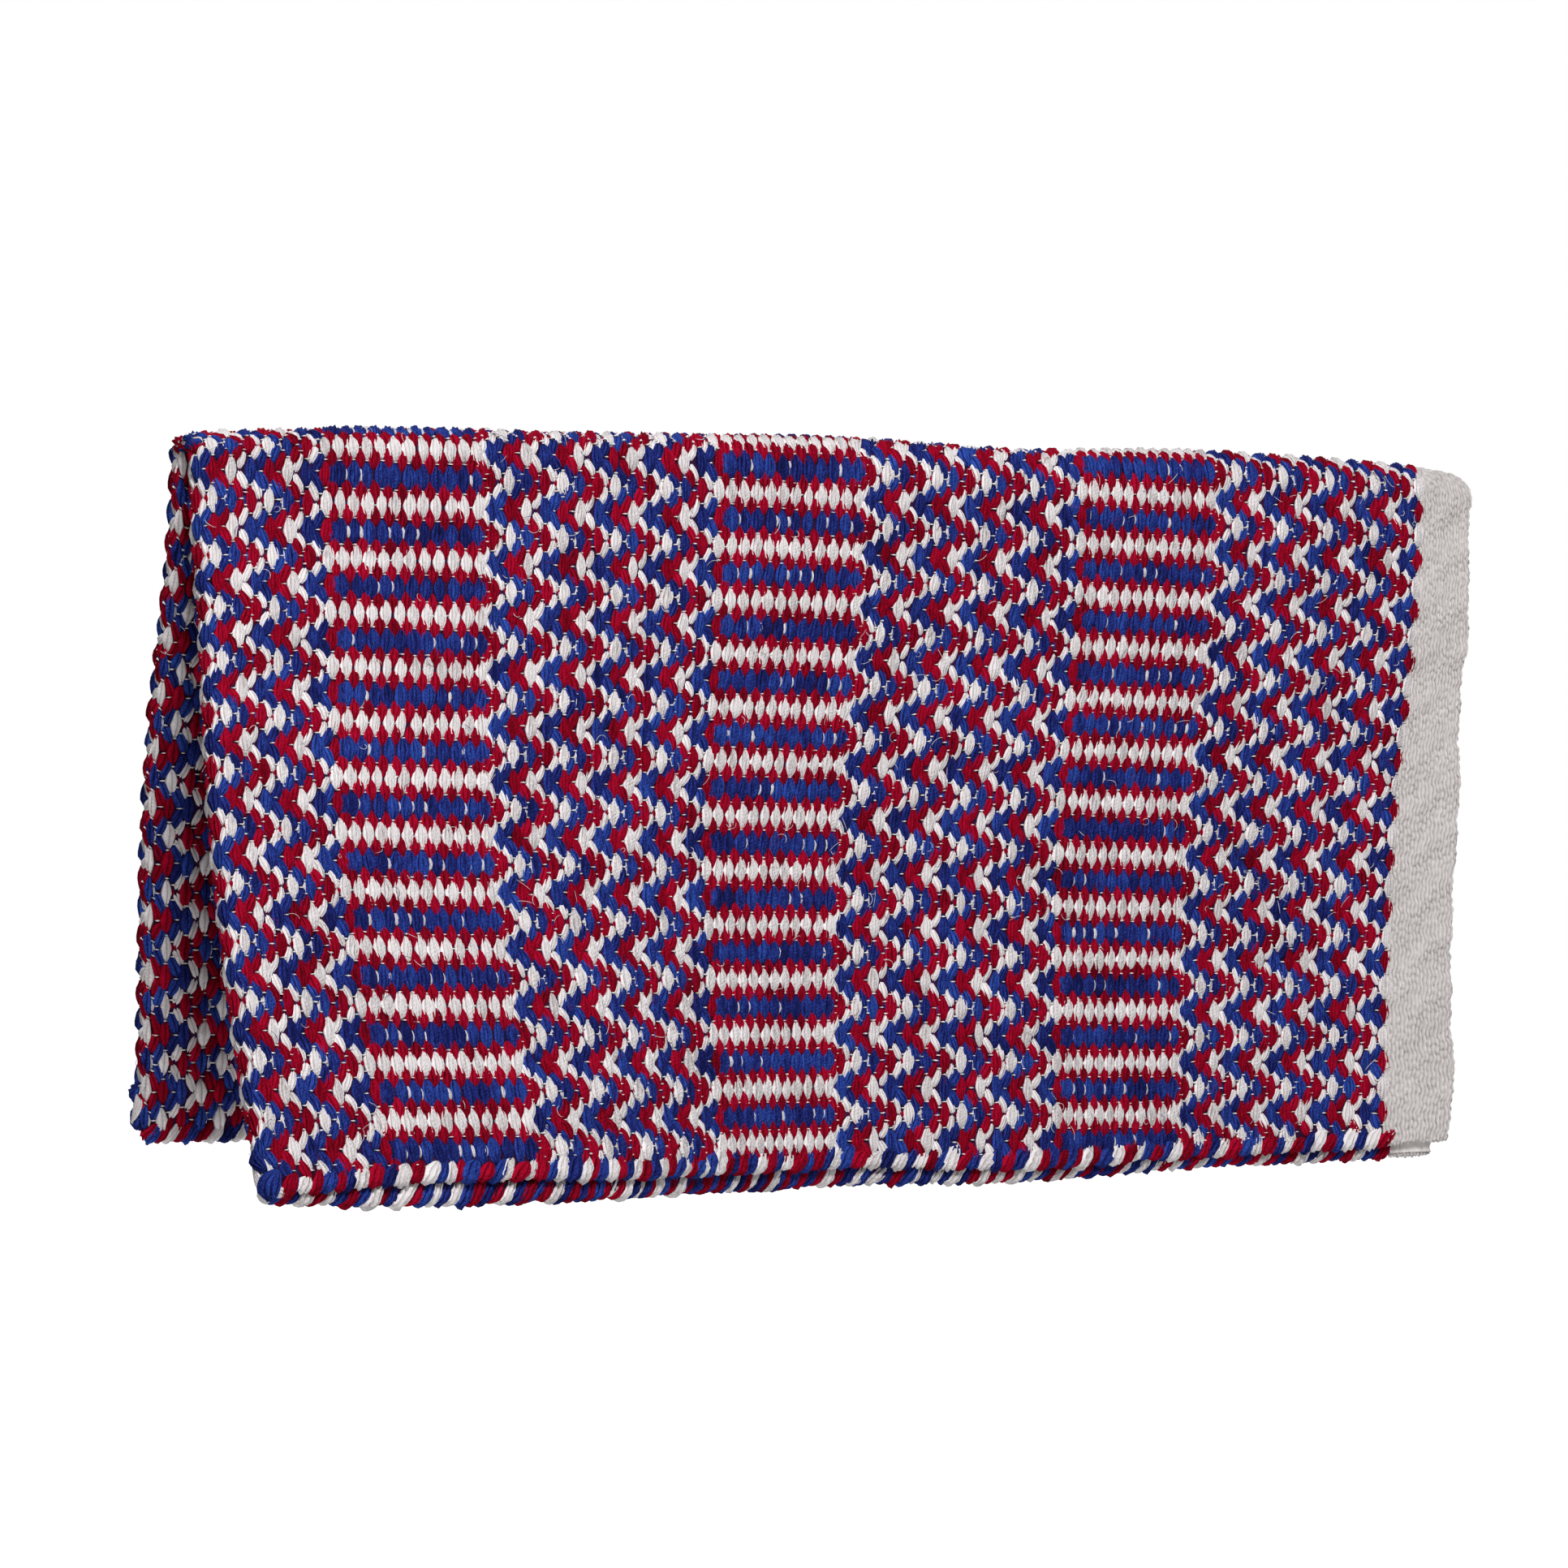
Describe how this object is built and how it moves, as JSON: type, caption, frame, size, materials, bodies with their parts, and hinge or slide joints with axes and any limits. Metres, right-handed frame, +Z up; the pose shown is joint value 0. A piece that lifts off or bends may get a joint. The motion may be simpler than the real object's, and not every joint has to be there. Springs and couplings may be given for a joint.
{
  "type": "saddle blanket",
  "caption": "Thick double-weave saddle blanket with ladder stripes, zigzags and plain white headers, folded in half and hung over a narrow rail.",
  "frame": {"origin": "middle of the flat strip under the crown, which rests on the rail", "axes": "+X along the rail from the turned fold to the headers, +Y away from the viewer towards the far flap, +Z up"},
  "size_m": [0.8275, 0.2053, 0.4106],
  "materials": {
    "woven_cloth": "thick fuzzy cotton weft in red, blue and white",
    "header_cloth": "matte off-white cotton",
    "selvedge_weft": "matte cotton wefts turned round the edge"
  },
  "bodies": {
    "ridge": {"crown_outer_ply": "woven_cloth", "crown_inner_ply": "woven_cloth", "crown_turned_fold": "woven_cloth", "crown_outer_header": "header_cloth", "crown_inner_header": "header_cloth"},
    "near_flap": {"near_outer_ply": "woven_cloth", "near_inner_ply": "woven_cloth", "near_turned_fold": "woven_cloth", "near_outer_header": "header_cloth", "near_inner_header": "header_cloth", "near_outer_selvedge": "selvedge_weft", "near_inner_selvedge": "selvedge_weft"},
    "far_flap": {"far_outer_ply": "woven_cloth", "far_inner_ply": "woven_cloth", "far_turned_fold": "woven_cloth", "far_outer_header": "header_cloth", "far_inner_header": "header_cloth", "far_outer_selvedge": "selvedge_weft", "far_inner_selvedge": "selvedge_weft"}
  },
  "joints": [
    {"name": "near_flap_hinge", "type": "hinge", "parent": "ridge", "child": "near_flap", "pos_m": [0, -0.0188, -0.0015], "axis": [-1, 0, 0], "range_deg": [0, 80]},
    {"name": "far_flap_hinge", "type": "hinge", "parent": "ridge", "child": "far_flap", "pos_m": [0, 0.0188, -0.0015], "axis": [1, 0, 0], "range_deg": [0, 80]}
  ]
}
